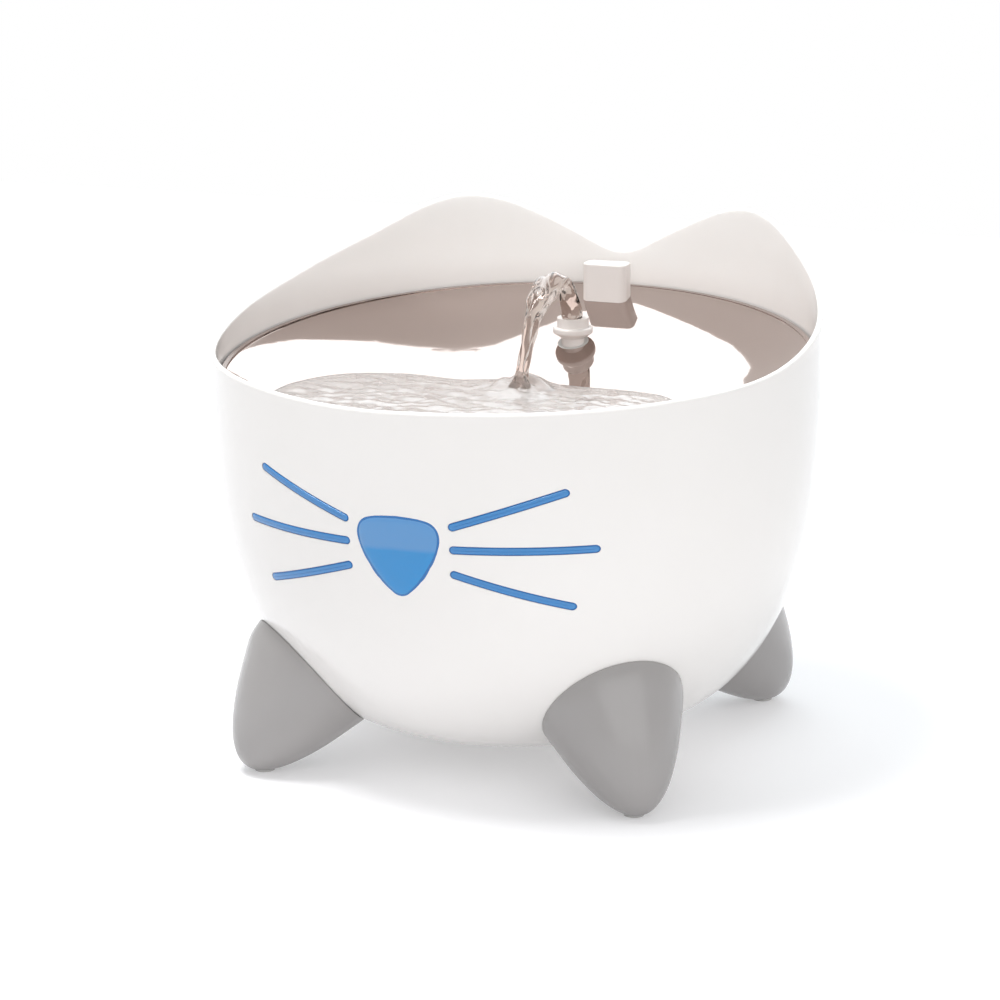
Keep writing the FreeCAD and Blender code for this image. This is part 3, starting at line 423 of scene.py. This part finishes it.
def pool_grid():
    """Rings from the pool's centre out to the shore, whose reach is a smooth closed curve through the given
    ones, evenly spread in angle; the surface bends to meet the dish there. The rings go back below on the
    dish's face."""
    places = (3 * len(shore_reach) - 1) * shore_steps + 1
    around = smooth_through(np.array(shore_reach * 3)[:, None], places)[:, 0]
    turns = np.linspace(0, 1, pool_columns, endpoint=False)
    reach = np.interp(turns + 1, np.arange(places) / (shore_steps * len(shore_reach)), around)
    heading = np.stack([np.cos(2 * np.pi * turns), np.sin(2 * np.pi * turns)], axis=-1)
    edge = pool_centre + heading * reach[:, None]
    edge_height = dish_face(edge[:, 0], edge[:, 1]) + shore_film
    shares = np.linspace(0.004, 1, pool_rows) ** 0.8
    at = pool_centre + heading * (reach[:, None] * shares[:, None, None])
    calm = 1 - shares[:, None] ** 14
    top = pool_level + (edge_height - pool_level) * shares[:, None] ** 2
    top = top + pool_waves(at[..., 0], at[..., 1]) * calm
    top = np.maximum(top, dish_face(at[..., 0], at[..., 1]) + surface_film)
    upper = np.concatenate([at, top[..., None]], axis=-1)
    shares = np.linspace(0.97, 0.01, floor_rows)
    at = pool_centre + heading * (reach[:, None] * shares[:, None, None])
    lower = np.concatenate([at, dish_face(at[..., 0], at[..., 1])[..., None] + floor_film], axis=-1)
    return np.concatenate([upper, lower])


def clear_water(name, tint, clearness, blur, ripple):
    """Material: water of a tint, faint on the pool and a painted shade on the stream, milky with fine
    bubbles where it isn't fully clear; a little blur and a bump stand for ripples too fine for the mesh."""
    material = bpy.data.materials.new(name)
    material.use_nodes = True
    nodes, link = material.node_tree.nodes, material.node_tree.links.new
    shader, place = nodes["Principled BSDF"], nodes.new("ShaderNodeTexCoord")
    shader.inputs["Base Color"].default_value = (*tint, 1.0)
    shader.inputs["Roughness"].default_value = blur
    shader.inputs["IOR"].default_value = water_bending
    shader.inputs["Transmission Weight"].default_value = clearness
    noise, bump = nodes.new("ShaderNodeTexNoise"), nodes.new("ShaderNodeBump")
    noise.inputs["Scale"].default_value = ripple_scale
    bump.inputs["Distance"].default_value = ripple
    link(place.outputs["Object"], noise.inputs["Vector"])
    link(noise.outputs["Fac"], bump.inputs["Height"])
    link(bump.outputs["Normal"], shader.inputs["Normal"])
    return material


pool_water = clear_water("pool_water", (0.97, 0.94, 0.92), 0.66, 0.12, 0.00001)
closed_skin("water_pool", pool_grid(), pool_water, "tray")


# Stream: the water stands up out of the nozzle as a thick column, turns over and falls in front of it as a
# folded sheet that draws thin before it lands.
stream_line = [(0.0640, 0.1600, 0.0038), (0.0628, 0.1650, 0.0040), (0.0620, 0.1690, 0.0046),
               (0.0605, 0.1733, 0.0040), (0.0579, 0.1785, 0.0033), (0.0527, 0.1826, 0.0034),
               (0.0447, 0.1842, 0.0046), (0.0356, 0.1839, 0.0055), (0.0276, 0.1813, 0.0049),
               (0.0219, 0.1775, 0.0038), (0.0168, 0.1730, 0.0032), (0.0133, 0.1675, 0.0028),
               (0.0099, 0.1620, 0.0025), (0.0067, 0.1565, 0.0024), (0.0048, 0.1515, 0.0030),
               (0.0040, 0.1475, 0.0040)]
stream_rows, stream_columns = 180, 64
stream_folds, fold_depth, fold_start, fold_growth, fold_twist = 3, 0.20, 0.25, 2.2, 9
knot_depth, sway_depth, pulse_depth, sheet_flattening = 0.07, 0.06, 0.06, 0.18


def stream_grid():
    """Rings along a smooth line in the middle plane: each ring's radius is the line's, made wider and
    narrower round the ring by folds that deepen and twist as the water falls, and by finer knots and a slow
    sway along it; the falling sheet is flattened."""
    line = smooth_through(stream_line, stream_rows)
    centre = np.stack([np.zeros(stream_rows), line[:, 0], line[:, 1]], axis=-1)
    along = np.gradient(centre, axis=0)
    along /= np.linalg.norm(along, axis=1, keepdims=True)
    across = np.array([1.0, 0.0, 0.0])
    upright = np.cross(across, along)
    share = np.linspace(0, 1, stream_rows)[:, None]
    angle = np.linspace(0, 2 * np.pi, stream_columns, endpoint=False)[None]
    fall = np.clip((share - fold_start) * fold_growth, 0, 1)
    folds = fold_depth * fall * np.sin(stream_folds * angle + fold_twist * share)
    folds = folds + knot_depth * np.sin(5 * angle - 24 * share) + sway_depth * np.sin(2 * angle + 38 * share)
    pulse = 1 + pulse_depth * np.sin(46 * share) * fall
    radius = line[:, 2][:, None] * (1 + folds) * pulse
    narrow = 1 - sheet_flattening * fall
    return (centre[:, None] + across * (radius * np.cos(angle))[..., None]
            + upright[:, None] * (radius * narrow * np.sin(angle))[..., None])


# The stream's brown tint is painted shade: it stands for the shaded steel and walls seen through the clear
# water.
stream_water_painted_shade = clear_water("stream_water_painted_shade", (0.70, 0.62, 0.575), 1.0, 0.0, 0.00003)
closed_skin("water_stream", stream_grid(), stream_water_painted_shade, "spout")


# Filter under the tray: a slotted basket with a foam pad and a carbon pad, both cut to the basket's form
# and soft enough that their edges round over.
pad_mid_radius, pad_half_depth, pad_half_angle = 0.0875, 0.0153, np.radians(40.4)
pad_rows, pad_columns = 40, 220
pad_squareness, pad_edge, pad_shoulder = 0.25, 0.22, 0.5
pore_depth, pores_round, pores_out = 0.00018, 930, 5200


def pad_grid(low, high):
    """Crowned pad on a ring sector: a rounded square of angle and radius, drawn in towards the top and the
    bottom by a rounded curve, with shallow pores on its face."""
    lift = np.linspace(-np.pi / 2, np.pi / 2, pad_rows + 2)[1:-1][:, None]
    angle = np.linspace(0, 2 * np.pi, pad_columns, endpoint=False)[None]
    reach = np.cos(lift) ** pad_edge
    share = np.sign(np.sin(lift)) * np.abs(np.sin(lift)) ** pad_shoulder
    side = np.sign(np.cos(angle)) * np.abs(np.cos(angle)) ** pad_squareness * reach
    depth = np.sign(np.sin(angle)) * np.abs(np.sin(angle)) ** pad_squareness * reach
    turn = side * pad_half_angle
    radius = pad_mid_radius + depth * pad_half_depth
    pores = pore_depth * np.sin(turn * pores_round) * np.sin(radius * pores_out)
    height = (low + high) / 2 + (high - low) / 2 * share + pores * (np.abs(share) > 0.9)
    return np.stack([radius * np.sin(turn), -radius * np.cos(turn), height], axis=-1)


foam_black = moulded("filter_foam", (0.10, 0.10, 0.11), (0.05, 0.05, 0.055), 0.85, 0.95,
                     grain_scale=700.0, grain_height=4e-4)
carbon_fleece = moulded("carbon_fleece", (0.62, 0.60, 0.57), (0.20, 0.19, 0.19), 0.8, 0.95,
                        patch_scale=420.0, grain_scale=900.0, grain_height=2e-4)
for name, node, low, high, material in (("foam_pad", "filter_foam", 0.0997, 0.1135, foam_black),
                                        ("carbon_pad", "filter_carbon", 0.1137, 0.1240, carbon_fleece)):
    pad = closed_skin(name, pad_grid(low, high), material, "filter")
    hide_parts(node)


# Riser tube and pump: a milky vinyl tube on a dark pump that stands on suction cups. Inside are the motor's
# core and winding, a ferrite rotor and a ceramic shaft.
tube_vinyl = moulded("tube_vinyl", (0.75, 0.78, 0.78), (0.7, 0.73, 0.74), 0.15, 0.25)
pump_black = moulded("pump_black_abs", (0.035, 0.036, 0.04), (0.022, 0.023, 0.026), 0.32, 0.45,
                     grain_scale=1000.0, grain_height=1.2e-5)
cover_black = moulded("cover_black_abs", (0.05, 0.051, 0.055), (0.035, 0.036, 0.04), 0.25, 0.35)
cup_rubber = moulded("cup_rubber", (0.06, 0.06, 0.062), (0.04, 0.04, 0.043), 0.45, 0.6)
wheel_blue = moulded("impeller_blue", (0.06, 0.16, 0.35), (0.045, 0.12, 0.28), 0.25, 0.35)
ferrite = moulded("ferrite", (0.05, 0.048, 0.05), (0.03, 0.03, 0.032), 0.4, 0.6, Metallic=0.3)
ceramic = moulded("shaft_ceramic", (0.82, 0.81, 0.78), (0.78, 0.77, 0.74), 0.12, 0.2)
core_steel = moulded("core_laminations", (0.33, 0.33, 0.35), (0.2, 0.2, 0.22), 0.35, 0.5, patch_scale=900.0,
                     Metallic=1.0)
copper = moulded("winding_copper", (0.75, 0.32, 0.14), (0.5, 0.19, 0.08), 0.25, 0.4, patch_scale=1200.0,
                 Metallic=1.0)
dress(tube_vinyl, "riser_tube")
dress(pump_black, "pump_housing", "motor_cover", "chamber_cover")
dress(cover_black, "intake_cover", "flow_slider")
dress(cup_rubber, "suction_cups", "pump_gland", "shaft_bushes")
dress(wheel_blue, "impeller")
dress(ferrite, "rotor_magnet")
dress(ceramic, "pump_shaft")
dress(core_steel, "stator_core")
dress(copper, "stator_coil")


# Studio: a white floor in an even white room, a large soft box behind the bowl that the steel mirrors, a
# small bright one overhead to the left that throws the shadow to the right, and a weak one at the front
# right. All of them face a point just above the floor's middle.
floor_half, aim_height = 1.2, 0.1
room_fill, floor_glow, floor_shown = 0.46, 0.18, 0.12
boxes = {"rear_soft_box": {"place": (-0.40, 1.20, 1.00), "size": (1.7, 1.5), "radiance": 1.70,
                           "tint": (0.92, 1.02, 1.07)},
         "overhead_soft_box": {"place": (-0.36, -0.22, 1.45), "size": (0.45, 0.45), "radiance": 23.5,
                               "tint": (1.0, 1.0, 1.0)},
         "front_soft_box": {"place": (1.20, -1.30, 1.00), "size": (2.6, 1.6), "radiance": 1.2,
                            "tint": (1.0, 1.0, 1.0)}}


def shown_directly(tree):
    """Light Path value that is one for camera, mirror and glass rays, and nothing for scattered light."""
    rays, first, second = (tree.nodes.new("ShaderNode" + kind) for kind in ("LightPath", "Math", "Math"))
    first.operation = second.operation = "MAXIMUM"
    tree.links.new(rays.outputs["Is Camera Ray"], first.inputs[0])
    tree.links.new(rays.outputs["Is Glossy Ray"], first.inputs[1])
    tree.links.new(first.outputs["Value"], second.inputs[0])
    tree.links.new(rays.outputs["Is Transmission Ray"], second.inputs[1])
    return second.outputs["Value"]


world = bpy.data.worlds.new("white_room")
bpy.context.scene.world = world
world.use_nodes = True
tree = world.node_tree
room = tree.nodes["Background"]
strength = tree.nodes.new("ShaderNodeMapRange")
tree.links.new(shown_directly(tree), strength.inputs["Value"])
strength.inputs["To Min"].default_value, strength.inputs["To Max"].default_value = room_fill, 1.0
tree.links.new(strength.outputs["Result"], room.inputs["Strength"])
room.inputs["Color"].default_value = (1.0, 1.0, 1.0, 1.0)

floor_mesh = bpy.data.meshes.new("floor")
floor_corners = [(x * floor_half, y * floor_half, 0) for x, y in ((-1, -1), (1, -1), (1, 1), (-1, 1))]
floor_mesh.from_pydata(floor_corners, [], [(0, 1, 2, 3)])
floor = bpy.data.objects.new("floor", floor_mesh)
collection.objects.link(floor)
floor_white = bpy.data.materials.new("floor_white")
floor_white.use_nodes = True
shader = floor_white.node_tree.nodes["Principled BSDF"]
shader.inputs["Base Color"].default_value = (0.72, 0.72, 0.735, 1.0)
shader.inputs["Roughness"].default_value = 0.9
shader.inputs["Emission Color"].default_value = (1.0, 1.0, 1.0, 1.0)
glow = floor_white.node_tree.nodes.new("ShaderNodeMath")
glow.operation = "MULTIPLY_ADD"
glow.inputs[1].default_value, glow.inputs[2].default_value = floor_shown, floor_glow
floor_white.node_tree.links.new(shown_directly(floor_white.node_tree), glow.inputs[0])
floor_white.node_tree.links.new(glow.outputs["Value"], shader.inputs["Emission Strength"])
floor_mesh.materials.append(floor_white)

for name, box in boxes.items():
    lamp = bpy.data.lights.new(name, "AREA")
    lamp.shape = "RECTANGLE"
    lamp.size, lamp.size_y = box["size"]
    lamp.energy = box["radiance"] * np.pi * lamp.size * lamp.size_y
    lamp.color = box["tint"]
    holder = bpy.data.objects.new(name, lamp)
    holder.visible_transmission = False
    away = np.array(box["place"]) - [0, 0, aim_height]
    away /= np.linalg.norm(away)
    side = np.cross([0, 0, 1], away)
    side /= np.linalg.norm(side)
    turned = np.eye(4)
    turned[:3] = np.stack([side, np.cross(away, side), away, box["place"]], axis=1)
    holder.matrix_world = Matrix(turned)
    collection.objects.link(holder)

bpy.context.scene.view_settings.view_transform = "Standard"
